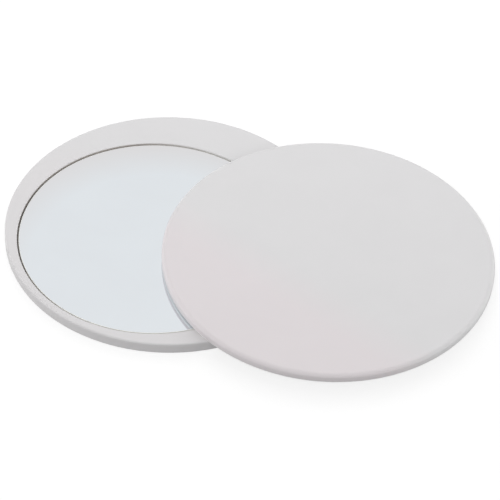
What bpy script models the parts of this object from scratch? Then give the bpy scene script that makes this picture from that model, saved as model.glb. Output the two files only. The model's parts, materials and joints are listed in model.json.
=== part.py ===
"""Swivel compact mirror: a round tray with an inlaid mirror, and a round cover that swings over it.

Metres, +Z up. The origin is the middle of the tray's underside, and the pivot stands on +Y.
The cover is modelled part open, as it stands on a table.
"""

import math

import bmesh
import bpy

# Case
CASE_RADIUS = 0.0350  # tray and cover are the same size
TRAY_HEIGHT = 0.0026
COVER_HEIGHT = 0.0020
COVER_GAP = 0.0002  # between the tray's top face and the cover's underside
WIDE_RIM = 0.0105  # the tray's rim at the pivot
NARROW_RIM = 0.0016  # the tray's rim on the far side
TRAY_TOP_FILLET = 0.00045
TRAY_BOTTOM_FILLET = 0.0003
COVER_TOP_FILLET = 0.00075
COVER_TOP_REACH = 0.00025  # the cover's top fillet runs this much further in than down
COVER_BOTTOM_FILLET = 0.0004

# Swing, in degrees
OPEN_ANGLE = 72.0  # how far the cover stands open
SWING_ANGLE = 180.0  # from closed to the open stop

# Mirror, from the glass down to the floor of its recess
MIRROR_CLEARANCE = 0.00035  # the dark line round the glass
MIRROR_SINK = 0.0001  # the glass lies this far below the rim
MIRROR_SIDE = 0.0004  # the recess lies this far to +X of the line from the pivot to the middle
GLASS_DRIFT = 0.00015  # the glass is bonded this much further to +X, so its dark line is uneven
GLASS_DROP = 0.0001  # and this much further from the pivot
GLASS_THICKNESS = 0.0010
GLASS_CHAMFER = 0.00012
BACKING_THICKNESS = 0.00005
BACKING_INSET = 0.0003
PAD_THICKNESS = 0.00015
PAD_INSET = 0.0022
RECESS_CHAMFER = 0.00012
LAYER_GAP = 0.00005  # between flat pieces that lie on each other

# Pivot at the tray's top face, from the wide rim inwards: slip washer, stop pocket, lug and boss
SLIP_SEAT_WALL = 0.00056  # of the wide rim, left on both sides of the washer's seat
SLIP_SEAT_DEPTH = 0.00015
SLIP_WASHER_WIDTH = 0.0009
SLIP_WASHER_WALL = 0.00015  # between the washer and the stop pocket
STOP_DEPTH = 0.0005  # height of the lug inside the tray
STOP_PLAY = 2.0  # degrees left at each stop
STOP_MIDDLE = -90.0  # degrees; the stop pocket faces the mirror
LUG_REACH = 0.0008  # the stop lug, out from the boss
LUG_SPAN = 26.0  # degrees
BOSS_CHAMFER = 0.0002
RUNNING_GAP = 0.00012  # between what turns and what stands still

# Pivot under the tray: counterbore, screw, washers and insert
COUNTERBORE_CHAMFER = 0.0002
SCREW_SINK = 0.0001  # the screw's head lies this far inside the underside
SCREW_RADIUS = 0.00095
SCREW_LENGTH = 0.0024
HEAD_RADIUS = 0.0019
HEAD_HEIGHT = 0.0005
HEAD_EDGE = 0.00012
DRIVE_REACH = 0.0010  # half the length of the cross recess
DRIVE_WIDTH = 0.0004
DRIVE_DEPTH = 0.0003
WASHER_THICKNESS = 0.0003
WASHER_CLEARANCE = 0.0001  # inside a washer
WASHER_SIDE_GAP = 0.0003  # from the flat washer's edge to the counterbore
WAVE_THICKNESS = 0.00012
WAVE_RISE = 0.00018  # from a trough to a crest
WAVE_WIDTH = 0.0010
WAVE_LAP = 0.0002  # how far the flat washer reaches past the wave washer
WAVE_COUNT = 3
INSERT_WALL = 0.00061  # outside the screw's thread
INSERT_LENGTH = 0.0026
INSERT_GROOVE = 0.0005
INSERT_GROOVE_DEPTH = 0.00025
KNURL_DEPTH = 0.0001
THREAD_CLEARANCE = 0.00004

# How finely round shapes are divided
DISC_STEPS = 144
LAYER_STEPS = 96
PIVOT_STEPS = 48
FILLET_STEPS = 5
SMOOTH_ANGLE = 35.0  # degrees
FLAT_ANGLE = 0.1  # degrees; faces this near to one plane are made one
MERGE_DISTANCE = 0.000001
OVERRUN = 0.0005  # how far a cutter runs past the faces that it cuts

# Places that follow from the sizes above
RECESS_RADIUS = CASE_RADIUS - (WIDE_RIM + NARROW_RIM) / 2
MIRROR_OFFSET = (WIDE_RIM - NARROW_RIM) / 2
GLASS_RADIUS = RECESS_RADIUS - MIRROR_CLEARANCE
GLASS_SIDE = MIRROR_SIDE + GLASS_DRIFT
GLASS_OFFSET = MIRROR_OFFSET + GLASS_DROP
PIVOT_DISTANCE = CASE_RADIUS - WIDE_RIM / 2
COVER_BASE = TRAY_HEIGHT + COVER_GAP
GLASS_TOP = TRAY_HEIGHT - MIRROR_SINK
GLASS_BOTTOM = GLASS_TOP - GLASS_THICKNESS
BACKING_TOP = GLASS_BOTTOM - LAYER_GAP
BACKING_BOTTOM = BACKING_TOP - BACKING_THICKNESS
PAD_TOP = BACKING_BOTTOM - LAYER_GAP
PAD_BOTTOM = PAD_TOP - PAD_THICKNESS
RECESS_FLOOR = PAD_BOTTOM - LAYER_GAP
HEAD_TOP = SCREW_SINK + HEAD_HEIGHT
WASHER_BOTTOM = HEAD_TOP + LAYER_GAP
WASHER_TOP = WASHER_BOTTOM + WASHER_THICKNESS
BOSS_END = WASHER_TOP + LAYER_GAP
WAVE_BOTTOM = WASHER_TOP + LAYER_GAP
WEB_BOTTOM = WAVE_BOTTOM + WAVE_THICKNESS + WAVE_RISE + LAYER_GAP
SLIP_SEAT_RADIUS = WIDE_RIM / 2 - SLIP_SEAT_WALL
SLIP_SEAT_FLOOR = TRAY_HEIGHT - SLIP_SEAT_DEPTH
SLIP_WASHER_OUTER = SLIP_SEAT_RADIUS - RUNNING_GAP
SLIP_WASHER_INNER = SLIP_WASHER_OUTER - SLIP_WASHER_WIDTH
STOP_RADIUS = SLIP_WASHER_INNER - SLIP_WASHER_WALL
STOP_FLOOR = TRAY_HEIGHT - STOP_DEPTH - RUNNING_GAP
LUG_RADIUS = STOP_RADIUS - RUNNING_GAP
BOSS_RADIUS = LUG_RADIUS - LUG_REACH
BORE_RADIUS = BOSS_RADIUS + RUNNING_GAP
WAVE_INNER = BOSS_RADIUS + WASHER_CLEARANCE
WAVE_OUTER = WAVE_INNER + WAVE_WIDTH
WASHER_RADIUS = WAVE_OUTER + WAVE_LAP
COUNTERBORE_RADIUS = WASHER_RADIUS + WASHER_SIDE_GAP
INSERT_BORE = SCREW_RADIUS + THREAD_CLEARANCE
INSERT_RADIUS = INSERT_BORE + INSERT_WALL
INSERT_BOTTOM = BOSS_END + LAYER_GAP
INSERT_HOLE_TOP = INSERT_BOTTOM + INSERT_LENGTH + LAYER_GAP


def clear_scene():
    for obj in list(bpy.data.objects):
        bpy.data.objects.remove(obj)


def collection(name):
    made = bpy.data.collections.new(name)
    bpy.context.scene.collection.children.link(made)
    return made


def material(name, colour, metallic, roughness):
    made = bpy.data.materials.new(name)
    made.use_nodes = True
    made.diffuse_color = (*colour, 1)
    shader = made.node_tree.nodes["Principled BSDF"]
    shader.inputs["Base Color"].default_value = (*colour, 1)
    shader.inputs["Metallic"].default_value = metallic
    shader.inputs["Roughness"].default_value = roughness
    return made


def arc(centre_r, centre_z, radius, start, end, steps):
    """Points of an arc in a profile's (r, z) plane, from start to end in degrees."""
    points = []
    for step in range(steps + 1):
        angle = math.radians(start + (end - start) * step / steps)
        points.append((centre_r + radius * math.cos(angle), centre_z + radius * math.sin(angle)))
    return points


def disc_profile(radius, bottom, top, top_fillet, bottom_fillet, top_reach=0):
    """A round plate with rounded edges, from the axis on top, down the outside, to the axis below."""
    stretch = (top_fillet + top_reach) / top_fillet
    inner = radius - top_fillet * stretch
    upper = [
        (inner + r * stretch, z) for r, z in arc(0, top - top_fillet, top_fillet, 90, 0, FILLET_STEPS)
    ]
    lower = arc(radius - bottom_fillet, bottom + bottom_fillet, bottom_fillet, 0, -90, FILLET_STEPS)
    return [(0, top), *upper, *lower, (0, bottom)]


def plate_profile(radius, bottom, top):
    return [(0, top), (radius, top), (radius, bottom), (0, bottom)]


def ring_profile(inner, outer, bottom, top):
    return [(outer, top), (outer, bottom), (inner, bottom), (inner, top)]


def turned(name, profile, steps, target, closed=False):
    """A shape turned about its own Z axis from a profile of (r, z) points."""
    mesh = bpy.data.meshes.new(name)
    shape = bmesh.new()
    corners = [shape.verts.new((r, 0, z)) for r, z in profile]
    for first, second in zip(corners, corners[1:]):
        shape.edges.new((first, second))
    if closed:
        shape.edges.new((corners[-1], corners[0]))
    shape.to_mesh(mesh)
    shape.free()
    obj = bpy.data.objects.new(name, mesh)
    target.objects.link(obj)
    screw = obj.modifiers.new("turn", "SCREW")
    screw.axis = "Z"
    screw.angle = math.radians(360)
    screw.steps = steps
    screw.render_steps = steps
    screw.use_merge_vertices = True
    screw.merge_threshold = MERGE_DISTANCE
    return obj


def prism(name, outline, bottom, top, target):
    """A flat outline of (x, y) points, filled and extruded from bottom to top, as a mesh."""
    curve = bpy.data.curves.new(name, "CURVE")
    curve.dimensions = "2D"
    curve.fill_mode = "BOTH"
    curve.extrude = (top - bottom) / 2
    line = curve.splines.new("POLY")
    line.points.add(len(outline) - 1)
    for point, (x, y) in zip(line.points, outline):
        point.co = (x, y, 0, 1)
    line.use_cyclic_u = True
    guide = bpy.data.objects.new(name, curve)
    target.objects.link(guide)
    bpy.context.view_layer.update()
    graph = bpy.context.evaluated_depsgraph_get()
    mesh = bpy.data.meshes.new_from_object(guide.evaluated_get(graph))
    shape = bmesh.new()
    shape.from_mesh(mesh)
    bmesh.ops.remove_doubles(shape, verts=shape.verts, dist=MERGE_DISTANCE)
    flat = math.radians(FLAT_ANGLE)
    bmesh.ops.dissolve_limit(shape, angle_limit=flat, verts=shape.verts, edges=shape.edges)
    bmesh.ops.recalc_face_normals(shape, faces=shape.faces)
    bmesh.ops.translate(shape, verts=shape.verts, vec=(0, 0, (top + bottom) / 2))
    shape.to_mesh(mesh)
    shape.free()
    bpy.data.objects.remove(guide)
    bpy.data.curves.remove(curve)
    obj = bpy.data.objects.new(name, mesh)
    target.objects.link(obj)
    return obj


def cross(name, bottom, top, target):
    """A cross for the screw's drive: a square post whose four sides are drawn out."""
    shape = bmesh.new()
    bmesh.ops.create_cube(shape, size=DRIVE_WIDTH)
    bmesh.ops.scale(shape, verts=shape.verts, vec=(1, 1, (top - bottom) / DRIVE_WIDTH))
    bmesh.ops.translate(shape, verts=shape.verts, vec=(0, 0, (top + bottom) / 2))
    shape.normal_update()
    sides = [face for face in shape.faces if abs(face.normal.z) < abs(face.normal.x + face.normal.y)]
    arms = bmesh.ops.extrude_discrete_faces(shape, faces=sides)["faces"]
    for arm in arms:
        reach = arm.normal * (DRIVE_REACH - DRIVE_WIDTH / 2)
        bmesh.ops.translate(shape, verts=arm.verts, vec=reach)
    mesh = bpy.data.meshes.new(name)
    shape.to_mesh(mesh)
    shape.free()
    obj = bpy.data.objects.new(name, mesh)
    target.objects.link(obj)
    return obj


def sector_outline(inner, outer, middle, span, steps):
    """The outline of a ring sector about the origin; angles in degrees."""
    start = middle - span / 2
    end = middle + span / 2
    return arc(0, 0, outer, start, end, steps) + arc(0, 0, inner, end, start, steps)


def place(obj, parent=None, x=0, y=0, z=0):
    obj.parent = parent
    obj.location = (x, y, z)


def as_cutter(obj):
    obj.hide_render = True
    obj.display_type = "WIRE"


def combine(obj, other, operation):
    """Join another object to this one, or cut it out."""
    as_cutter(other)
    step = obj.modifiers.new(other.name, "BOOLEAN")
    step.operation = operation
    step.solver = "EXACT"
    step.object = other


def finish(obj, surface):
    """Turn the modifiers into a mesh, smooth its round faces and give it its material."""
    bpy.context.view_layer.update()
    graph = bpy.context.evaluated_depsgraph_get()
    mesh = bpy.data.meshes.new_from_object(obj.evaluated_get(graph))
    obj.modifiers.clear()
    obj.data = mesh
    mesh.name = obj.name
    mesh.materials.clear()
    mesh.materials.append(surface)
    mesh.shade_smooth()
    mesh.set_sharp_from_angle(angle=math.radians(SMOOTH_ANGLE))


def make_tray(parts, cutters):
    """Moulded tray: the mirror's recess, and the pivot's bore with its counterbore and stop pocket."""
    tray = turned(
        "tray",
        disc_profile(CASE_RADIUS, 0, TRAY_HEIGHT, TRAY_TOP_FILLET, TRAY_BOTTOM_FILLET),
        DISC_STEPS,
        parts,
    )
    recess_profile = [
        (0, TRAY_HEIGHT + OVERRUN),
        (RECESS_RADIUS + RECESS_CHAMFER + OVERRUN, TRAY_HEIGHT + OVERRUN),
        (RECESS_RADIUS, TRAY_HEIGHT - RECESS_CHAMFER),
        (RECESS_RADIUS, RECESS_FLOOR),
        (0, RECESS_FLOOR),
    ]
    recess = turned("mirror_recess", recess_profile, DISC_STEPS, cutters)
    place(recess, x=MIRROR_SIDE, y=-MIRROR_OFFSET)

    bore_profile = [
        (0, TRAY_HEIGHT + OVERRUN),
        (SLIP_SEAT_RADIUS, TRAY_HEIGHT + OVERRUN),
        (SLIP_SEAT_RADIUS, SLIP_SEAT_FLOOR),
        (BORE_RADIUS, SLIP_SEAT_FLOOR),
        (BORE_RADIUS, WEB_BOTTOM),
        (COUNTERBORE_RADIUS, WEB_BOTTOM),
        (COUNTERBORE_RADIUS, COUNTERBORE_CHAMFER),
        (COUNTERBORE_RADIUS + COUNTERBORE_CHAMFER + OVERRUN, -OVERRUN),
        (0, -OVERRUN),
    ]
    bore = turned("pivot_bore", bore_profile, PIVOT_STEPS, cutters)
    place(bore, y=PIVOT_DISTANCE)

    pocket_span = SWING_ANGLE + LUG_SPAN + 2 * STOP_PLAY
    outline = sector_outline(
        BOSS_RADIUS - RUNNING_GAP, STOP_RADIUS, STOP_MIDDLE, pocket_span, PIVOT_STEPS // 2
    )
    pocket = prism("stop_pocket", outline, STOP_FLOOR, TRAY_HEIGHT + OVERRUN, cutters)
    place(pocket, y=PIVOT_DISTANCE)

    for cutter in (recess, bore, pocket):
        combine(tray, cutter, "DIFFERENCE")
    finish(tray, material("white_abs_tray", (0.80, 0.80, 0.79), 0, 0.38))


def make_mirror(parts):
    """Glass, its back coat and the adhesive pad, in the order in which they lie in the recess."""
    glass_profile = [
        (0, GLASS_TOP),
        (GLASS_RADIUS - GLASS_CHAMFER, GLASS_TOP),
        (GLASS_RADIUS, GLASS_TOP - GLASS_CHAMFER),
        (GLASS_RADIUS, GLASS_BOTTOM),
        (0, GLASS_BOTTOM),
    ]
    glass = turned("mirror_glass", glass_profile, DISC_STEPS, parts)
    place(glass, x=GLASS_SIDE, y=-GLASS_OFFSET)
    finish(glass, material("silvered_glass", (0.86, 0.89, 0.90), 1, 0.02))

    backing_radius = GLASS_RADIUS - BACKING_INSET
    backing_profile = plate_profile(backing_radius, BACKING_BOTTOM, BACKING_TOP)
    backing = turned("mirror_backing", backing_profile, LAYER_STEPS, parts)
    place(backing, x=GLASS_SIDE, y=-GLASS_OFFSET)
    finish(backing, material("grey_back_paint", (0.18, 0.19, 0.20), 0, 0.6))

    pad_profile = plate_profile(GLASS_RADIUS - PAD_INSET, PAD_BOTTOM, PAD_TOP)
    pad = turned("adhesive_pad", pad_profile, LAYER_STEPS, parts)
    place(pad, x=GLASS_SIDE, y=-GLASS_OFFSET)
    finish(pad, material("white_adhesive", (0.72, 0.72, 0.68), 0, 0.7))


def make_slip_washer(parts):
    """The washer that keeps the two discs apart, in its seat in the tray."""
    bottom = SLIP_SEAT_FLOOR + LAYER_GAP
    top = COVER_BASE - LAYER_GAP
    profile = ring_profile(SLIP_WASHER_INNER, SLIP_WASHER_OUTER, bottom, top)
    washer = turned("slip_washer", profile, PIVOT_STEPS, parts, closed=True)
    place(washer, y=PIVOT_DISTANCE)
    finish(washer, material("natural_acetal", (0.78, 0.77, 0.72), 0, 0.45))


def make_cover(swing, parts, cutters):
    """Moulded cover: a plain disc on top, with the pivot boss and its stop lug below."""
    outside = disc_profile(
        CASE_RADIUS, 0, COVER_HEIGHT, COVER_TOP_FILLET, COVER_BOTTOM_FILLET, COVER_TOP_REACH
    )
    cover = turned("cover", outside, DISC_STEPS, parts)
    place(cover, swing, y=-PIVOT_DISTANCE, z=COVER_BASE)

    root = COVER_BASE + COVER_HEIGHT / 2  # boss and lug start inside the disc
    boss_profile = [
        (0, root),
        (BOSS_RADIUS, root),
        (BOSS_RADIUS, BOSS_END + BOSS_CHAMFER),
        (BOSS_RADIUS - BOSS_CHAMFER, BOSS_END),
        (0, BOSS_END),
    ]
    boss = turned("pivot_boss", boss_profile, PIVOT_STEPS, cutters)
    place(boss, swing)

    lug_middle = STOP_MIDDLE - SWING_ANGLE / 2
    lug_outline = sector_outline(
        BOSS_RADIUS - LUG_REACH, LUG_RADIUS, lug_middle, LUG_SPAN, FILLET_STEPS
    )
    lug = prism("stop_lug", lug_outline, TRAY_HEIGHT - STOP_DEPTH, root, cutters)
    place(lug, swing)

    hole_profile = plate_profile(INSERT_RADIUS + LAYER_GAP, BOSS_END - OVERRUN, INSERT_HOLE_TOP)
    hole = turned("insert_hole", hole_profile, PIVOT_STEPS, cutters)
    place(hole, swing)

    combine(cover, boss, "UNION")
    combine(cover, lug, "UNION")
    combine(cover, hole, "DIFFERENCE")
    finish(cover, material("white_abs_cover", (0.80, 0.79, 0.78), 0, 0.36))


def make_insert(swing, parts):
    """Brass insert in the boss: two knurled bands with a groove between, and a bore for the screw."""
    bottom = INSERT_BOTTOM
    top = bottom + INSERT_LENGTH
    middle = (top + bottom) / 2
    waist = INSERT_RADIUS - INSERT_GROOVE_DEPTH
    profile = [
        (INSERT_RADIUS, top),
        (INSERT_RADIUS, middle + INSERT_GROOVE / 2),
        (waist, middle + INSERT_GROOVE / 2),
        (waist, middle - INSERT_GROOVE / 2),
        (INSERT_RADIUS, middle - INSERT_GROOVE / 2),
        (INSERT_RADIUS, bottom),
        (INSERT_BORE, bottom),
        (INSERT_BORE, top),
    ]
    insert = turned("threaded_insert", profile, PIVOT_STEPS, parts, closed=True)
    place(insert, swing)
    finish(insert, material("brass", (0.72, 0.53, 0.25), 1, 0.35))
    for corner in insert.data.vertices:
        distance = math.hypot(corner.co.x, corner.co.y)
        tooth = round(math.atan2(corner.co.y, corner.co.x) / math.radians(360) * PIVOT_STEPS)
        if distance > INSERT_RADIUS - KNURL_DEPTH / 2 and tooth % 2:
            corner.co.x *= (INSERT_RADIUS - KNURL_DEPTH) / INSERT_RADIUS
            corner.co.y *= (INSERT_RADIUS - KNURL_DEPTH) / INSERT_RADIUS


def make_screw(swing, parts, cutters):
    """Low-head screw from below, with a cross recess in its head."""
    profile = [
        (0, HEAD_TOP + SCREW_LENGTH),
        (SCREW_RADIUS, HEAD_TOP + SCREW_LENGTH),
        (SCREW_RADIUS, HEAD_TOP),
        (HEAD_RADIUS, HEAD_TOP),
        (HEAD_RADIUS, SCREW_SINK + HEAD_EDGE),
        (HEAD_RADIUS - HEAD_EDGE, SCREW_SINK),
        (0, SCREW_SINK),
    ]
    screw = turned("pivot_screw", profile, PIVOT_STEPS, parts)
    place(screw, swing)

    drive = cross("cross_recess", SCREW_SINK - OVERRUN, SCREW_SINK + DRIVE_DEPTH, cutters)
    place(drive, swing)
    combine(screw, drive, "DIFFERENCE")
    finish(screw, material("plated_steel", (0.62, 0.62, 0.63), 1, 0.3))


def make_washers(swing, parts):
    """The flat washer that the screw clamps, and the wave washer that it presses on the tray."""
    flat_profile = ring_profile(
        SCREW_RADIUS + WASHER_CLEARANCE, WASHER_RADIUS, WASHER_BOTTOM, WASHER_TOP
    )
    flat = turned("retaining_washer", flat_profile, PIVOT_STEPS, parts, closed=True)
    place(flat, swing)
    finish(flat, material("steel_washer", (0.58, 0.58, 0.59), 1, 0.35))

    wave_profile = ring_profile(WAVE_INNER, WAVE_OUTER, WAVE_BOTTOM, WAVE_BOTTOM + WAVE_THICKNESS)
    wave = turned("wave_washer", wave_profile, PIVOT_STEPS, parts, closed=True)
    place(wave, swing)
    finish(wave, material("spring_steel", (0.50, 0.50, 0.52), 1, 0.3))
    for corner in wave.data.vertices:
        angle = math.atan2(corner.co.y, corner.co.x)
        corner.co.z += WAVE_RISE * (1 + math.cos(WAVE_COUNT * angle)) / 2


def main():
    clear_scene()
    parts = collection("compact_mirror")
    cutters = collection("cutters")
    swing = bpy.data.objects.new("cover_swing", None)
    parts.objects.link(swing)
    swing.location = (0, PIVOT_DISTANCE, 0)
    swing.rotation_euler = (0, 0, math.radians(OPEN_ANGLE))

    make_tray(parts, cutters)
    make_mirror(parts)
    make_slip_washer(parts)
    make_cover(swing, parts, cutters)
    make_insert(swing, parts)
    make_screw(swing, parts, cutters)
    make_washers(swing, parts)


main()
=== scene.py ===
import json
import math

import bmesh
import bpy
from mathutils import Matrix, Vector


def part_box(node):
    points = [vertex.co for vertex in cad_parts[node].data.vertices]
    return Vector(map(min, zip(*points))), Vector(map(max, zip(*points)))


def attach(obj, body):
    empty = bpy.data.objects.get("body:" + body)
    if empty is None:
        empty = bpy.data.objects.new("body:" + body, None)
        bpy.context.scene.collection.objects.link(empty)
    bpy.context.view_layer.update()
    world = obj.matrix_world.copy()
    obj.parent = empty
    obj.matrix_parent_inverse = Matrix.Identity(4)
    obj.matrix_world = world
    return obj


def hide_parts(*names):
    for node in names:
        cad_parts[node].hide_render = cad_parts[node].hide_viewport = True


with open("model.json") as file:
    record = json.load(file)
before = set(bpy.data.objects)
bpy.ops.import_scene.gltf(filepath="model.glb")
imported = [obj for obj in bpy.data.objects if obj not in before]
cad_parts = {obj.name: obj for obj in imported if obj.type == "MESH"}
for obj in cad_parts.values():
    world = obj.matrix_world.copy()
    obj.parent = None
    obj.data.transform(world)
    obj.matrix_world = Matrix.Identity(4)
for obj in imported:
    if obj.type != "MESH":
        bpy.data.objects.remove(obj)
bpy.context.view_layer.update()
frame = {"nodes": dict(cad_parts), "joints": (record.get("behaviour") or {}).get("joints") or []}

mm = 0.001
tiny = 0.002 * mm  # two places nearer than this are the same place
seam = 0.0002 * mm  # corners nearer than this are merged
sharpAngle = 35  # an edge that turns by more degrees stays sharp, the rest shade smooth

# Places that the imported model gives: the pivot, the tray, the cover and the glass
pivot = Vector(frame["joints"][0]["pos_m"])
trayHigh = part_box("tray")[1]
trayRadius, trayTop = trayHigh.x, trayHigh.z
trayCentre = Vector((0, 0, 0))
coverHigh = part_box("cover")[1]
coverTop = coverHigh.z
coverCentre = Vector((coverHigh.x - trayRadius, coverHigh.y - trayRadius, 0))
glassLow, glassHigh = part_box("mirror_glass")
glassCentre = (glassLow + glassHigh) / 2
glassRadius = (glassHigh.x - glassLow.x) / 2
print("frame loaded, cover centre at", [round(value / mm, 3) for value in coverCentre])


# Hands: what every piece is made with

def takeUp(piece):
    # this piece alone is selected and active
    bpy.ops.object.select_all(action="DESELECT")
    bpy.context.view_layer.objects.active = piece
    piece.select_set(True)


def settle(name):
    # name the new primitive, and put its place and size into its mesh
    piece = bpy.context.active_object
    piece.name = name
    piece.data.name = name
    bpy.ops.object.transform_apply(location=True, rotation=True, scale=True)
    return piece


def startBlank(name, radius, low, high, centre, sides):
    # a round blank at its size and place; all else is deselected first
    bpy.ops.object.select_all(action="DESELECT")
    bpy.ops.mesh.primitive_cylinder_add(
        vertices=sides, radius=radius, depth=high - low,
        location=(centre.x, centre.y, (low + high) / 2))
    return settle(name)


def openPiece(piece, kind):
    # edit mode on one piece, with nothing selected in it
    takeUp(piece)
    bpy.ops.object.mode_set(mode="EDIT")
    bpy.ops.mesh.select_mode(type=kind)
    bpy.ops.mesh.select_all(action="DESELECT")


def closePiece():
    # back to object mode, with all faces pointing outwards
    bpy.ops.mesh.select_all(action="SELECT")
    bpy.ops.mesh.normals_make_consistent(inside=False)
    bpy.ops.object.mode_set(mode="OBJECT")


def reachFrom(centre, place):
    # the level distance of a place from an upright axis
    return math.hypot(place.x - centre.x, place.y - centre.y)


def heading(degrees):
    # a level direction as x and y, by its angle from +X
    turn = math.radians(degrees)
    return math.cos(turn), math.sin(turn)


def pickRing(piece, centre, radius, height):
    # the edges of one ring, by its radius and its height
    cage = bmesh.from_edit_mesh(piece.data)
    for edge in cage.edges:
        edge.select_set(all(
            abs(reachFrom(centre, corner.co) - radius) < tiny
            and abs(corner.co.z - height) < tiny for corner in edge.verts))
    bmesh.update_edit_mesh(piece.data)


def pickCap(piece, height):
    # the flat face at one height
    cage = bmesh.from_edit_mesh(piece.data)
    for face in cage.faces:
        face.select_set(all(abs(corner.co.z - height) < tiny for corner in face.verts))
    bmesh.update_edit_mesh(piece.data)


def roundRing(piece, centre, radius, height, fillet, steps):
    # round the edge that runs at this radius and height
    openPiece(piece, "EDGE")
    pickRing(piece, centre, radius, height)
    bpy.ops.mesh.bevel(offset=fillet, segments=steps, affect="EDGES", clamp_overlap=False)
    closePiece()


def drawOn(piece, centre, radius, height, rings):
    # draw the cap at this height on to each (radius, height) in turn, by extrude and resize
    openPiece(piece, "FACE")
    pickCap(piece, height)
    for nextRadius, nextHeight in rings:
        bpy.ops.mesh.extrude_region_move(
            TRANSFORM_OT_translate={"value": (0, 0, nextHeight - height)})
        growth = nextRadius / radius
        bpy.ops.transform.resize(
            value=(growth, growth, 1), center_override=(centre.x, centre.y, nextHeight))
        radius, height = nextRadius, nextHeight
    closePiece()


def combine(piece, other, operation):
    # join another shape to this one, or cut it out, and clear it away
    takeUp(piece)
    step = piece.modifiers.new("combine", "BOOLEAN")
    step.operation = operation
    step.solver = "EXACT"
    step.object = other
    bpy.ops.object.modifier_apply(modifier=step.name)
    bpy.data.objects.remove(other)


def spinSector(name, inner, outer, low, high, middleAngle, span, steps):
    # a ring sector about the pivot: a small upright face, spun round
    bpy.ops.object.select_all(action="DESELECT")
    bpy.ops.mesh.primitive_plane_add(size=1, location=(pivot.x, pivot.y, (low + high) / 2))
    piece = settle(name)
    openPiece(piece, "FACE")
    startX, startY = heading(middleAngle - span / 2)
    cage = bmesh.from_edit_mesh(piece.data)
    for corner in cage.verts:
        reach = outer if corner.co.x > pivot.x else inner
        height = high if corner.co.y > pivot.y else low
        corner.co = (pivot.x + reach * startX, pivot.y + reach * startY, height)
    bmesh.update_edit_mesh(piece.data)
    bpy.ops.mesh.select_all(action="SELECT")
    bpy.ops.mesh.spin(
        steps=steps, angle=-math.radians(span), center=(pivot.x, pivot.y, 0), axis=(0, 0, 1))
    closePiece()
    return piece


def quarterEllipse(radius, height, reach, rise, steps):
    # (radius, height) pairs round an edge: in by the reach, up or down by the rise
    turns = [math.radians(90 * step / steps) for step in range(1, steps + 1)]
    return [
        (radius - reach * (1 - math.cos(turn)), height + rise * math.sin(turn))
        for turn in turns]


def finishPiece(piece, body, node, materials):
    # merge what the cuts left doubled, smooth the round faces, keep the flat ones flat,
    # and put the piece in its node's place
    openPiece(piece, "VERT")
    bpy.ops.mesh.select_all(action="SELECT")
    bpy.ops.mesh.remove_doubles(threshold=seam)
    bpy.ops.mesh.dissolve_degenerate(threshold=seam)
    closePiece()
    bpy.ops.object.shade_smooth_by_angle(angle=math.radians(sharpAngle))
    weigh = piece.modifiers.new("weigh", "WEIGHTED_NORMAL")
    weigh.keep_sharp = True
    bpy.ops.object.modifier_apply(modifier=weigh.name)
    piece.data.materials.clear()
    for material in materials:
        piece.data.materials.append(material)
    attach(piece, body)
    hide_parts(node)
    piece.select_set(False)


def paintSecond(piece, isSecond):
    # the second material on the faces that the test picks, the first on the rest
    for face in piece.data.polygons:
        face.material_index = 1 if isSecond(face) else 0


# Materials

# A colour Mix node's sockets go by number, because its number and vector sockets share their names
mixFactor, mixFirst, mixSecond, mixResult = 0, 6, 7, 2


def hexColour(code):
    # an sRGB hex value as the linear colour that a shader takes
    channels = [int(code[place:place + 2], 16) / 255 for place in (1, 3, 5)]
    linear = [
        part / 12.92 if part <= 0.04045 else ((part + 0.055) / 1.055) ** 2.4
        for part in channels]
    return (*linear, 1)


def addNode(tree, kind, values=None, links=None, **settings):
    # one node with its settings, its values and what feeds it
    node = tree.nodes.new("ShaderNode" + kind)
    for name, value in settings.items():
        setattr(node, name, value)
    for socket, value in (values or {}).items():
        node.inputs[socket].default_value = value
    for socket, source in (links or {}).items():
        tree.links.new(source, node.inputs[socket])
    return node


def startMaterial(name):
    # a material with no nodes yet
    material = bpy.data.materials.new(name)
    material.use_nodes = True
    material.node_tree.nodes.clear()
    return material


def reachInside(tree, centred):
    # a point's level distance from the upright axis that its coordinates are centred on
    flat = addNode(
        tree, "VectorMath", {1: (1, 1, 0)}, {0: centred.outputs["Vector"]}, operation="MULTIPLY")
    reach = addNode(tree, "VectorMath", links={0: flat.outputs["Vector"]}, operation="LENGTH")
    return reach.outputs["Value"]


def closeMaterial(tree, tint, rough, relief, height, values):
    # the shader with its colour, roughness and relief, and its plain values
    bump = addNode(tree, "Bump", {"Strength": 1, "Distance": height}, {"Height": relief})
    shader = addNode(
        tree, "BsdfPrincipled", values,
        {"Base Color": tint, "Roughness": rough, "Normal": bump.outputs["Normal"]})
    addNode(tree, "OutputMaterial", links={"Surface": shader.outputs["BSDF"]})


mouldedAbs = {
    "colour": "#dcdadb", "flowTone": "#fbfbfb",
    # the colour drifts to a second one along a direction, between two places from the origin
    "driftColour": "#dbdadb", "driftAngle": 102, "driftFrom": -3 * mm, "driftTo": 6.6 * mm,
    "roughness": 0.42, "ior": 1.54,
    # slow streaks of the melt
    "flowWidth": 9 * mm, "flowDetail": 3, "flowDistortion": 0.6, "flowRoughness": 0.05,
    # the real spark grain is about 0.05 mm, too fine to show, so it is drawn coarser
    "grainWidth": 0.30 * mm, "grainDetail": 2, "grainHeight": 0.0008 * mm,
    # few and faint hairlines: only where their noise is above the first level
    "hairLength": 7 * mm, "hairWidth": 0.12 * mm, "hairAngle": 37, "hairDetail": 1,
    "hairFrom": 0.62, "hairTo": 0.78, "hairRoughness": 0.03,
    "edgeWidth": 1.5 * mm, "edgePolish": 0.04,
}
# the cover's own shot of plastic: a little rosy at one side, neutral at the other
rosyAbs = {**mouldedAbs, "colour": "#dfd9db", "driftColour": "#dcdbdc"}
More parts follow.
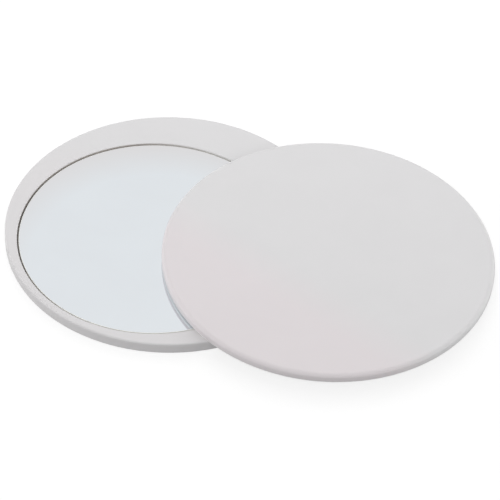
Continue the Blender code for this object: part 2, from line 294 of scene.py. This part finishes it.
# the recess's wall and floor, painted darker as shade: a painted shadow gap, the dark line round
# the glass, which lightens along the drift
recessShadeAbs = {
    **mouldedAbs, "colour": "#bbb5b1", "flowTone": "#f3f3f3", "roughness": 0.60, "edgePolish": 0,
    "driftColour": "#e9e8e7", "driftAngle": 28, "driftFrom": -18 * mm, "driftTo": -1 * mm,
}
# the cover's underside, painted near white: painted light that brightens the underside and its
# reflection in the mirror under the cover's edge
paintedLightAbs = {**mouldedAbs, "colour": "#f8f7f6", "driftColour": "#f8f7f6", "edgePolish": 0}


def driftTone(tree, coords, flow, values):
    # the slow drift from one tone to the other across the case, and the streaks over it
    side = addNode(
        tree, "VectorMath", {1: (*heading(values["driftAngle"]), 0)},
        {0: coords.outputs["Object"]}, operation="DOT_PRODUCT")
    drift = addNode(
        tree, "MapRange", {"From Min": values["driftFrom"], "From Max": values["driftTo"]},
        {"Value": side.outputs["Value"]})
    base = addNode(
        tree, "Mix",
        {mixFirst: hexColour(values["colour"]), mixSecond: hexColour(values["driftColour"])},
        {mixFactor: drift.outputs["Result"]}, data_type="RGBA")
    tint = addNode(
        tree, "Mix", {mixSecond: hexColour(values["flowTone"])},
        {mixFactor: flow.outputs["Fac"], mixFirst: base.outputs[mixResult]},
        data_type="RGBA", blend_type="MULTIPLY")
    return tint.outputs[mixResult]


def drawHairs(tree, centred, values):
    # hairlines: noise drawn out along one direction
    stretch = values["hairWidth"] / values["hairLength"]
    drawn = addNode(
        tree, "Mapping",
        {"Rotation": (0, 0, math.radians(values["hairAngle"])), "Scale": (stretch, 1, 1)},
        {"Vector": centred.outputs["Vector"]})
    hairs = addNode(
        tree, "TexNoise", {"Scale": 1 / values["hairWidth"], "Detail": values["hairDetail"]},
        {"Vector": drawn.outputs["Vector"]})
    fewHairs = addNode(
        tree, "MapRange",
        {"From Min": values["hairFrom"], "From Max": values["hairTo"],
         "To Min": 0, "To Max": values["hairRoughness"]},
        {"Value": hairs.outputs["Fac"]})
    return fewHairs.outputs["Result"]


def makeMouldedAbs(name, centre, values):
    # ABS, injection moulded in a finely spark-eroded mould: satin, even white with a soft wide
    # gloss, a little more polish on the outer edge, where fingers rub it
    material = startMaterial(name)
    tree = material.node_tree
    coords = addNode(tree, "TexCoord")
    centred = addNode(
        tree, "Mapping", {"Location": (-centre.x, -centre.y, 0)},
        {"Vector": coords.outputs["Object"]})
    flow = addNode(
        tree, "TexNoise",
        {"Scale": 1 / values["flowWidth"], "Detail": values["flowDetail"],
         "Distortion": values["flowDistortion"]},
        {"Vector": centred.outputs["Vector"]})
    grain = addNode(
        tree, "TexNoise", {"Scale": 1 / values["grainWidth"], "Detail": values["grainDetail"]},
        {"Vector": centred.outputs["Vector"]})
    # the streaks' roughness, less the polish near the outer edge, with the hairlines
    rim = addNode(
        tree, "MapRange",
        {"From Min": trayRadius - values["edgeWidth"], "From Max": trayRadius,
         "To Min": 0, "To Max": values["edgePolish"]},
        {"Value": reachInside(tree, centred)}, interpolation_type="SMOOTHSTEP")
    streaked = addNode(
        tree, "Math",
        {1: values["flowRoughness"], 2: values["roughness"] - values["flowRoughness"] / 2},
        {0: flow.outputs["Fac"]}, operation="MULTIPLY_ADD")
    rubbed = addNode(
        tree, "Math", links={0: streaked.outputs["Value"], 1: rim.outputs["Result"]},
        operation="SUBTRACT")
    rough = addNode(
        tree, "Math", links={0: rubbed.outputs["Value"], 1: drawHairs(tree, centred, values)},
        operation="ADD")
    closeMaterial(
        tree, driftTone(tree, coords, flow, values), rough.outputs["Value"],
        grain.outputs["Fac"], values["grainHeight"], {"IOR": values["ior"]})
    return material


silvering = {
    "colour": "#e1e6ea", "roughness": 0.012,
    # haze from handling, which grows between two levels of its noise
    "smudgeColour": "#dde1e5", "smudgeWidth": 18 * mm, "smudgeDetail": 4,
    "smudgeDistortion": 1.2, "smudgeFrom": 0.45, "smudgeTo": 0.75, "smudgeRoughness": 0.010,
    # float glass is flat to a fraction of a micron
    "waveWidth": 22 * mm, "waveDetail": 0, "waveHeight": 0.00002 * mm,
    # painted shade in the reflection: a grey towards one edge, by the distance from a place off
    # the middle
    "reflectionShadeColour": "#dbdadb", "reflectionShadeAngle": -30, "reflectionShadeShift": 8 * mm,
    "reflectionShadeNear": 27 * mm, "reflectionShadeFar": 36 * mm,
}


def makeSilveredGlass(name, values):
    # float glass silvered on its back: a clear, very slightly blue reflection, with a breath of
    # haze from handling, and a soft painted shade in the reflection towards one edge
    material = startMaterial(name)
    tree = material.node_tree
    coords = addNode(tree, "TexCoord")
    smudge = addNode(
        tree, "TexNoise",
        {"Scale": 1 / values["smudgeWidth"], "Detail": values["smudgeDetail"],
         "Distortion": values["smudgeDistortion"]},
        {"Vector": coords.outputs["Object"]})
    haze = addNode(
        tree, "MapRange",
        {"From Min": values["smudgeFrom"], "From Max": values["smudgeTo"],
         "To Min": values["roughness"], "To Max": values["roughness"] + values["smudgeRoughness"]},
        {"Value": smudge.outputs["Fac"]})
    silver = addNode(
        tree, "Mix",
        {mixFirst: hexColour(values["colour"]), mixSecond: hexColour(values["smudgeColour"])},
        {mixFactor: smudge.outputs["Fac"]}, data_type="RGBA")

    # painted shade: the reflection greys towards one edge
    shadeX, shadeY = heading(values["reflectionShadeAngle"])
    start = glassCentre + Vector((shadeX, shadeY, 0)) * values["reflectionShadeShift"]
    away = addNode(
        tree, "VectorMath", {1: start}, {0: coords.outputs["Object"]}, operation="DISTANCE")
    reflectionShade = addNode(
        tree, "MapRange", {"From Min": values["reflectionShadeNear"], "From Max": values["reflectionShadeFar"]},
        {"Value": away.outputs["Value"]})
    tint = addNode(
        tree, "Mix", {mixSecond: hexColour(values["reflectionShadeColour"])},
        {mixFactor: reflectionShade.outputs["Result"], mixFirst: silver.outputs[mixResult]},
        data_type="RGBA")

    wave = addNode(
        tree, "TexNoise", {"Scale": 1 / values["waveWidth"], "Detail": values["waveDetail"]},
        {"Vector": coords.outputs["Object"]})
    closeMaterial(
        tree, tint.outputs[mixResult], haze.outputs["Result"], wave.outputs["Fac"],
        values["waveHeight"], {"Metallic": 1})
    return material


# The small pieces' finishes. A squeeze of 1 leaves the grain even, and less draws it out
# round the piece's own axis. The real marks on metal and ground glass are under 0.05 mm wide,
# too fine to show, so they are drawn coarser.
plainFinishes = {
    # glass with a ground edge: pale, matt and streaked along the edge by the wheel
    "floatGlassGroundEdge": {
        "colour": "#f2f2ee", "secondColour": "#eaeae5", "metallic": 0,
        "roughness": 0.38, "spread": 0.10,
        "grainWidth": 0.08 * mm, "grainHeight": 0.0010 * mm, "squeeze": 0.15},
    # steel, cold headed and nickel plated: bright and faintly warm, with fine rings
    "screwSteelNickelPlated": {
        "colour": "#c3c1bb", "secondColour": "#b4b2ab", "metallic": 1,
        "roughness": 0.26, "spread": 0.12,
        "grainWidth": 0.09 * mm, "grainHeight": 0.0008 * mm, "squeeze": 0.2},
    # steel sheet, stamped and zinc plated: a cool, slightly clouded grey
    "washerSteelZincPlated": {
        "colour": "#b9bcbd", "secondColour": "#a5a9ab", "metallic": 1,
        "roughness": 0.34, "spread": 0.16,
        "grainWidth": 0.14 * mm, "grainHeight": 0.0014 * mm, "squeeze": 0.4},
    # sprayed mirror paint: dull and grey brown, with the pebbled skin of the spray
    "backPaintSprayed": {
        "colour": "#5b5752", "secondColour": "#4c4843", "metallic": 0,
        "roughness": 0.62, "spread": 0.10,
        "grainWidth": 0.25 * mm, "grainHeight": 0.0020 * mm, "squeeze": 1.0},
    # foam tape, die cut: chalky cream, with its open cells
    "foamTapeDieCut": {
        "colour": "#dcdad0", "secondColour": "#cfccc0", "metallic": 0,
        "roughness": 0.80, "spread": 0.08,
        "grainWidth": 0.18 * mm, "grainHeight": 0.0100 * mm, "squeeze": 1.0},
    # acetal sheet, punched: waxy ivory with a soft sheen
    "acetalPunched": {
        "colour": "#e4e1d4", "secondColour": "#dcd8c9", "metallic": 0,
        "roughness": 0.38, "spread": 0.08,
        "grainWidth": 0.20 * mm, "grainHeight": 0.0012 * mm, "squeeze": 0.3},
    # brass, turned and knurled: warm yellow, with the rings that the tool left
    "brassKnurled": {
        "colour": "#c9a45a", "secondColour": "#b8913f", "metallic": 1,
        "roughness": 0.30, "spread": 0.14,
        "grainWidth": 0.06 * mm, "grainHeight": 0.0010 * mm, "squeeze": 0.1},
    # spring steel, hardened and tempered: a darker grey, drawn along the strip
    "springSteelTempered": {
        "colour": "#8f8d88", "secondColour": "#7d7b76", "metallic": 1,
        "roughness": 0.30, "spread": 0.14,
        "grainWidth": 0.10 * mm, "grainHeight": 0.0010 * mm, "squeeze": 0.2},
}
finishNoise = {"grainDetail": 3, "cloudDetail": 2, "cloudGrains": 8}  # a cloud is 8 grains wide


def makeFinish(name, centre):
    # one of these finishes, on a piece with this upright axis
    values = plainFinishes[name]
    material = startMaterial(name)
    tree = material.node_tree
    coords = addNode(tree, "TexCoord")
    centred = addNode(
        tree, "Mapping", {"Location": (-centre.x, -centre.y, 0)},
        {"Vector": coords.outputs["Object"]})
    # the grain is squeezed across and shifted by the radius, so that it runs round the axis
    squeeze = values["squeeze"]
    drawn = addNode(
        tree, "VectorMath", {1: (squeeze, squeeze, 1)}, {0: centred.outputs["Vector"]},
        operation="MULTIPLY")
    lane = addNode(
        tree, "Math", {1: 1 - squeeze}, {0: reachInside(tree, centred)}, operation="MULTIPLY")
    shift = addNode(tree, "CombineXYZ", links={"Z": lane.outputs["Value"]})
    place = addNode(
        tree, "VectorMath", links={0: drawn.outputs["Vector"], 1: shift.outputs["Vector"]},
        operation="ADD")
    grain = addNode(
        tree, "TexNoise",
        {"Scale": 1 / values["grainWidth"], "Detail": finishNoise["grainDetail"]},
        {"Vector": place.outputs["Vector"]})
    cloud = addNode(
        tree, "TexNoise",
        {"Scale": 1 / (finishNoise["cloudGrains"] * values["grainWidth"]),
         "Detail": finishNoise["cloudDetail"]},
        {"Vector": centred.outputs["Vector"]})
    tint = addNode(
        tree, "Mix",
        {mixFirst: hexColour(values["colour"]), mixSecond: hexColour(values["secondColour"])},
        {mixFactor: cloud.outputs["Fac"]}, data_type="RGBA")
    rough = addNode(
        tree, "Math", {1: values["spread"], 2: values["roughness"] - values["spread"] / 2},
        {0: grain.outputs["Fac"]}, operation="MULTIPLY_ADD")
    closeMaterial(
        tree, tint.outputs[mixResult], rough.outputs["Value"], grain.outputs["Fac"],
        values["grainHeight"], {"Metallic": values["metallic"]})
    return material


trayPlastic = makeMouldedAbs("trayAbsMouldedSatin", trayCentre, mouldedAbs)
# the recess's wall and floor carry a painted shade: the dark line round the glass
recessPaintedShade = makeMouldedAbs("recessAbsPaintedShade", glassCentre, recessShadeAbs)
coverPlastic = makeMouldedAbs("coverAbsMouldedSatin", coverCentre, rosyAbs)
# the cover's underside is painted lighter: painted light
undersidePaintedLight = makeMouldedAbs("coverAbsPaintedLight", coverCentre, paintedLightAbs)
silveredGlass = makeSilveredGlass("floatGlassSilvered", silvering)
glassEdge = makeFinish("floatGlassGroundEdge", glassCentre)
screwSteel = makeFinish("screwSteelNickelPlated", pivot)
washerSteel = makeFinish("washerSteelZincPlated", pivot)
print("materials made")

# Tray: the lower disc, with the mirror's recess and the pivot's bore

traySizes = {
    "sides": 288, "topFillet": 0.38 * mm, "bottomFillet": 0.30 * mm, "filletSteps": 6,
    # the glass is bonded a little off the recess's middle
    "recessCentre": glassCentre - Vector((0.15 * mm, -0.1 * mm, 0)),
    "recessRadius": glassRadius + 0.35 * mm, "recessFloor": 1.15 * mm,
    "recessChamfer": 0.12 * mm,
    "slipSeatRadius": 4.69 * mm, "slipSeatFloor": 2.45 * mm,
    "boreSides": 96, "boreRadius": 2.72 * mm, "webBottom": 1.35 * mm,
    "counterboreRadius": 4.20 * mm, "counterboreChamfer": 0.20 * mm,
    "pocketInner": 2.48 * mm, "pocketOuter": 3.52 * mm, "pocketFloor": 1.98 * mm,
    "pocketMiddle": -90, "pocketSpan": 210, "pocketSteps": 70,
    "overrun": 0.5 * mm,  # how far a cutter reaches past the faces that it opens
}


def makeTray(sizes):
    tray = startBlank("trayBody", trayRadius, 0, trayTop, trayCentre, sizes["sides"])
    roundRing(tray, trayCentre, trayRadius, trayTop, sizes["topFillet"], sizes["filletSteps"])
    roundRing(tray, trayCentre, trayRadius, 0, sizes["bottomFillet"], sizes["filletSteps"])
    above = trayTop + sizes["overrun"]

    middle, recessRadius = sizes["recessCentre"], sizes["recessRadius"]
    recessFloor, recessWall = sizes["recessFloor"], trayTop - sizes["recessChamfer"]
    brim = recessRadius + sizes["recessChamfer"]
    recess = startBlank(
        "recessCutter", recessRadius, recessFloor, recessWall, middle, sizes["sides"])
    drawOn(recess, middle, recessRadius, recessWall, [(brim, trayTop), (brim, above)])
    combine(tray, recess, "DIFFERENCE")

    mouth = sizes["counterboreRadius"] + sizes["counterboreChamfer"]
    bore = startBlank("boreCutter", mouth, -sizes["overrun"], 0, pivot, sizes["boreSides"])
    drawOn(bore, pivot, mouth, 0, [
        (sizes["counterboreRadius"], sizes["counterboreChamfer"]),
        (sizes["counterboreRadius"], sizes["webBottom"]),
        (sizes["boreRadius"], sizes["webBottom"]),
        (sizes["boreRadius"], sizes["slipSeatFloor"]),
        (sizes["slipSeatRadius"], sizes["slipSeatFloor"]),
        (sizes["slipSeatRadius"], above),
    ])
    combine(tray, bore, "DIFFERENCE")

    pocket = spinSector(
        "pocketCutter", sizes["pocketInner"], sizes["pocketOuter"], sizes["pocketFloor"], above,
        sizes["pocketMiddle"], sizes["pocketSpan"], sizes["pocketSteps"])
    combine(tray, pocket, "DIFFERENCE")
    finishPiece(tray, "tray", "tray", [trayPlastic, recessPaintedShade])
    # the painted shade goes on the recess's wall and floor
    paintSecond(tray, lambda face: (
        reachFrom(middle, face.center) < recessRadius + tiny
        and recessFloor - tiny < face.center.z < recessWall))


makeTray(traySizes)
print("tray made")

# Mirror: the glass plate, with a ground and lightly broken edge

mirrorSizes = {
    "sides": 288, "edgeBreak": 0.12 * mm, "edgeSteps": 2,
    "facingUp": 0.999,  # a face whose normal rises less than this belongs to the edge
}


def makeMirror(sizes):
    plate = startBlank(
        "mirrorPlate", glassRadius, glassLow.z, glassHigh.z, glassCentre, sizes["sides"])
    roundRing(
        plate, glassCentre, glassRadius, glassHigh.z, sizes["edgeBreak"], sizes["edgeSteps"])
    finishPiece(plate, "tray", "mirror_glass", [silveredGlass, glassEdge])
    paintSecond(plate, lambda face: face.normal.z <= sizes["facingUp"])


makeMirror(mirrorSizes)
print("mirror made")

# Cover: the upper disc, with the pivot's boss and its stop lug below

coverSizes = {
    "sides": 288, "height": 2.0 * mm,
    "topFillet": 0.75 * mm, "topReach": 0.25 * mm, "topSteps": 12,
    "lipRise": 0.90 * mm, "lipReach": 0.54 * mm, "lipDrop": 0.18 * mm, "lipStep": 0.01 * mm,
    "lipSteps": 12,
    "paintedLightHeight": 0.4 * mm,  # how far up from the underside the plastic is painted lighter
    "bossSides": 96, "bossRadius": 2.6 * mm, "bossEnd": 1.0 * mm, "bossChamfer": 0.2 * mm,
    "lugInner": 1.8 * mm, "lugOuter": 3.4 * mm, "lugBottom": 2.1 * mm,
    "lugMiddle": -108, "lugSpan": 26, "lugSteps": 10,
    "insertHoleRadius": 1.65 * mm, "insertHoleTop": 3.7 * mm, "overrun": 0.5 * mm,
}


def makeCover(sizes):
    base = coverTop - sizes["height"]
    hip = base - sizes["lipDrop"] + sizes["lipRise"]
    shoulder = coverTop - sizes["topFillet"]
    cover = startBlank("coverShell", trayRadius, hip, shoulder, coverCentre, sizes["sides"])
    # the lower edge rounds down to a thin lip, which hides the slot over the tray;
    # the underside lies inside it
    lip = quarterEllipse(
        trayRadius, hip, sizes["lipReach"], -sizes["lipRise"], sizes["lipSteps"])
    lip.append((trayRadius - sizes["lipReach"] - sizes["lipStep"], base))
    drawOn(cover, coverCentre, trayRadius, hip, lip)
    crown = quarterEllipse(
        trayRadius, shoulder, sizes["topFillet"] + sizes["topReach"], sizes["topFillet"],
        sizes["topSteps"])
    drawOn(cover, coverCentre, trayRadius, shoulder, crown)

    root = coverTop - sizes["height"] / 2  # boss and lug start inside the disc
    bossRadius, bossEnd = sizes["bossRadius"], sizes["bossEnd"]
    tip = bossEnd + sizes["bossChamfer"]
    boss = startBlank("pivotBoss", bossRadius, tip, root, pivot, sizes["bossSides"])
    drawOn(boss, pivot, bossRadius, tip, [(bossRadius - sizes["bossChamfer"], bossEnd)])
    combine(cover, boss, "UNION")
    lug = spinSector(
        "stopLug", sizes["lugInner"], sizes["lugOuter"], sizes["lugBottom"], root,
        sizes["lugMiddle"], sizes["lugSpan"], sizes["lugSteps"])
    combine(cover, lug, "UNION")
    hole = startBlank(
        "insertHole", sizes["insertHoleRadius"], bossEnd - sizes["overrun"],
        sizes["insertHoleTop"], pivot, sizes["bossSides"])
    combine(cover, hole, "DIFFERENCE")
    finishPiece(cover, "cover", "cover", [coverPlastic, undersidePaintedLight])
    # the painted light goes on the underside
    paintSecond(cover, lambda face: face.center.z < base + sizes["paintedLightHeight"])


makeCover(coverSizes)
print("cover made")

# The screw and the flat washer, which show from below

screwSizes = {
    "sides": 96, "headRadius": 1.9 * mm, "headBottom": 0.1 * mm, "headTop": 0.6 * mm,
    "headEdge": 0.15 * mm, "headEdgeSteps": 4,
    "shankRadius": 0.95 * mm, "shankTop": 3.0 * mm, "tipChamfer": 0.15 * mm,
    "driveReach": 1.0 * mm, "driveWidth": 0.4 * mm, "driveDepth": 0.3 * mm, "driveTaper": 0.82,
}


def cutDriveBar(screw, sizes, turn):
    # one bar of the cross recess, which narrows inwards
    low = sizes["headBottom"] - sizes["driveDepth"]
    high = sizes["headBottom"] + sizes["driveDepth"]
    inmost = (pivot.x, pivot.y, high)
    bpy.ops.object.select_all(action="DESELECT")
    bpy.ops.mesh.primitive_cube_add(size=1, location=(pivot.x, pivot.y, (low + high) / 2))
    bpy.context.active_object.scale = (2 * sizes["driveReach"], sizes["driveWidth"], high - low)
    bar = settle("driveBar")
    openPiece(bar, "FACE")
    pickCap(bar, high)
    taper = sizes["driveTaper"]
    bpy.ops.transform.resize(value=(taper, taper, 1), center_override=inmost)
    bpy.ops.mesh.select_all(action="SELECT")
    bpy.ops.transform.rotate(value=math.radians(turn), orient_axis="Z", center_override=inmost)
    closePiece()
    combine(screw, bar, "DIFFERENCE")


def makeScrew(sizes):
    headRadius, headTop = sizes["headRadius"], sizes["headTop"]
    shankRadius, tipChamfer = sizes["shankRadius"], sizes["tipChamfer"]
    screw = startBlank(
        "pivotScrew", headRadius, sizes["headBottom"], headTop, pivot, sizes["sides"])
    roundRing(
        screw, pivot, headRadius, sizes["headBottom"], sizes["headEdge"], sizes["headEdgeSteps"])
    drawOn(screw, pivot, headRadius, headTop, [
        (shankRadius, headTop),
        (shankRadius, sizes["shankTop"] - tipChamfer),
        (shankRadius - tipChamfer, sizes["shankTop"]),
    ])
    for turn in (0, 90):
        cutDriveBar(screw, sizes, turn)
    finishPiece(screw, "cover", "pivot_screw", [screwSteel])


washerSizes = {
    "sides": 96, "radius": 3.9 * mm, "bore": 1.05 * mm, "low": 0.65 * mm, "high": 0.95 * mm,
    "edge": 0.06 * mm, "edgeSteps": 3,  # rolled over by the punch
}


def makeRetainingWasher(sizes):
    radius, low, high = sizes["radius"], sizes["low"], sizes["high"]
    washer = startBlank("retainingWasher", radius, low, high, pivot, sizes["sides"])
    for height in (low, high):
        roundRing(washer, pivot, radius, height, sizes["edge"], sizes["edgeSteps"])
    hole = startBlank("washerBore", sizes["bore"], low - high, 2 * high, pivot, sizes["sides"])
    combine(washer, hole, "DIFFERENCE")
    finishPiece(washer, "cover", "retaining_washer", [washerSteel])


makeScrew(screwSizes)
makeRetainingWasher(washerSizes)
print("screw and washer made")

# Hidden pieces keep their own shape and get their finish

hiddenFinishes = {
    "mirror_backing": ("backPaintSprayed", glassCentre),
    "adhesive_pad": ("foamTapeDieCut", glassCentre),
    "slip_washer": ("acetalPunched", pivot),
    "threaded_insert": ("brassKnurled", pivot),
    "wave_washer": ("springSteelTempered", pivot),
}
for node, (finish, centre) in hiddenFinishes.items():
    surface = makeFinish(finish, centre)
    for materialSlot in frame["nodes"][node].material_slots:
        materialSlot.material = surface
print("hidden pieces finished")

# Floor, light and camera

white = (1, 1, 1, 1)
photoView = {
    "azimuth": 50.47, "elevation": 44.45, "roll": 2.41, "distance": 481.35 * mm,
    "lookAt": Vector((14.165 * mm, 10.829 * mm, 0)),  # the place in the middle of the photo
    "lens": 162.91, "sensor": 36, "clipNear": 0.01, "clipFar": 50,
}
studio = {
    "dome": 0.20,  # the room's own light on the object
    "floorSize": 6.0, "floorCuts": 7, "floorDrop": 0.02 * mm, "floorDiffuse": "#959595",
    # between these distances its glow rises to white, where the lamps fade
    "floorGlow": 0.755, "floorNear": 0.20, "floorFar": 0.80,
}
# a lamp's turn is from the camera's azimuth, and its level is what a white face shows
lamps = {
    "softboxLeft": {
        "turn": -80, "elevation": 6, "distance": 0.80, "width": 0.60, "level": 0.55},
    "softboxRight": {
        "turn": 80, "elevation": 6, "distance": 0.80, "width": 0.60, "level": 0.40},
    "softboxBackLeft": {
        "turn": -125, "elevation": 12, "distance": 0.80, "width": 0.60, "level": 0.25},
    "softboxBackRight": {
        "turn": 125, "elevation": 12, "distance": 0.80, "width": 0.60, "level": 0.32},
    "softboxFront": {
        "turn": 0, "elevation": 40, "distance": 1.60, "width": 1.20, "level": 0.40},
    "softboxBack": {
        "turn": 180, "elevation": 40, "distance": 0.48, "width": 0.36, "level": 0.35},
    "softboxTop": {
        "turn": 180, "elevation": 75, "distance": 0.60, "width": 0.45, "level": 0.145},
}


def directionFrom(azimuth, elevation):
    # the way from the object to the camera or a lamp
    turn, rise = math.radians(azimuth), math.radians(elevation)
    return Vector((
        math.sin(turn) * math.cos(rise), -math.cos(turn) * math.cos(rise), math.sin(rise)))


def whereSeen(tree):
    # 1 where the camera sees it, also in metal or through glass, and 0 where it gives light
    rays = addNode(tree, "LightPath")
    mirrored = addNode(
        tree, "Math", links={0: rays.outputs["Is Camera Ray"], 1: rays.outputs["Is Glossy Ray"]},
        operation="MAXIMUM")
    seen = addNode(
        tree, "Math",
        links={0: mirrored.outputs["Value"], 1: rays.outputs["Is Transmission Ray"]},
        operation="MAXIMUM")
    return seen.outputs["Value"]


def makeFloor(values):
    # one wide face, cut finer by subdivide so that it isn't a single plain quad
    bpy.ops.object.select_all(action="DESELECT")
    bpy.ops.mesh.primitive_plane_add(
        size=values["floorSize"], location=(0, 0, -values["floorDrop"]))
    floor = settle("studioFloor")
    openPiece(floor, "FACE")
    bpy.ops.mesh.select_all(action="SELECT")
    bpy.ops.mesh.subdivide(number_cuts=values["floorCuts"])
    closePiece()

    # matte paper that takes the object's shadow, and glows towards white further out
    material = startMaterial("floorMattePaper")
    tree = material.node_tree
    coords = addNode(tree, "TexCoord")
    away = addNode(tree, "VectorMath", links={0: coords.outputs["Object"]}, operation="LENGTH")
    level = addNode(
        tree, "MapRange",
        {"From Min": values["floorNear"], "From Max": values["floorFar"],
         "To Min": values["floorGlow"], "To Max": 1},
        {"Value": away.outputs["Value"]})
    glow = addNode(
        tree, "Math", links={0: whereSeen(tree), 1: level.outputs["Result"]},
        operation="MULTIPLY")
    matte = addNode(tree, "BsdfDiffuse", {"Color": hexColour(values["floorDiffuse"])})
    lit = addNode(tree, "Emission", {"Color": white}, {"Strength": glow.outputs["Value"]})
    both = addNode(
        tree, "AddShader", links={0: matte.outputs["BSDF"], 1: lit.outputs["Emission"]})
    addNode(tree, "OutputMaterial", links={"Surface": both.outputs["Shader"]})
    floor.data.materials.append(material)


def makeWorld(values):
    # white to the camera, and only as bright as the dome's level to the object
    world = bpy.data.worlds.new("whiteRoom")
    bpy.context.scene.world = world
    world.use_nodes = True
    tree = world.node_tree
    tree.nodes.clear()
    dome = addNode(tree, "Background", {"Color": white, "Strength": values["dome"]})
    backdrop = addNode(tree, "Background", {"Color": white, "Strength": 1})
    mixed = addNode(
        tree, "MixShader",
        links={0: whereSeen(tree), 1: dome.outputs["Background"],
               2: backdrop.outputs["Background"]})
    addNode(tree, "OutputWorld", links={"Surface": mixed.outputs["Shader"]})


def makeLamps(softboxes):
    for name, values in softboxes.items():
        distance = values["distance"]
        light = bpy.data.lights.new(name, "AREA")
        light.shape = "SQUARE"
        light.size = values["width"]
        # the energy that gives this level on a face square to the lamp
        light.energy = values["level"] * math.pi ** 2 * distance ** 2
        lamp = bpy.data.objects.new(name, light)
        bpy.context.scene.collection.objects.link(lamp)
        away = directionFrom(photoView["azimuth"] + values["turn"], values["elevation"])
        lamp.location = photoView["lookAt"] + away * distance
        lamp.rotation_euler = away.to_track_quat("Z", "Y").to_euler()
        lamp.visible_camera = False
        lamp.visible_glossy = False


def makeCamera(values):
    data = bpy.data.cameras.new("photoCamera")
    data.lens = values["lens"]
    data.sensor_width = values["sensor"]
    data.clip_start = values["clipNear"]
    data.clip_end = values["clipFar"]
    camera = bpy.data.objects.new("photoCamera", data)
    bpy.context.scene.collection.objects.link(camera)
    away = directionFrom(values["azimuth"], values["elevation"])
    place = Matrix.Translation(values["lookAt"] + away * values["distance"])
    turn = Matrix.Rotation(math.radians(values["azimuth"]), 4, "Z")
    tip = Matrix.Rotation(math.radians(90 - values["elevation"]), 4, "X")
    roll = Matrix.Rotation(math.radians(values["roll"]), 4, "Z")
    camera.matrix_world = place @ turn @ tip @ roll
    bpy.context.scene.camera = camera


makeFloor(studio)
makeWorld(studio)
makeLamps(lamps)
makeCamera(photoView)
bpy.context.scene.view_settings.view_transform = "Standard"
print("floor, light and camera made")
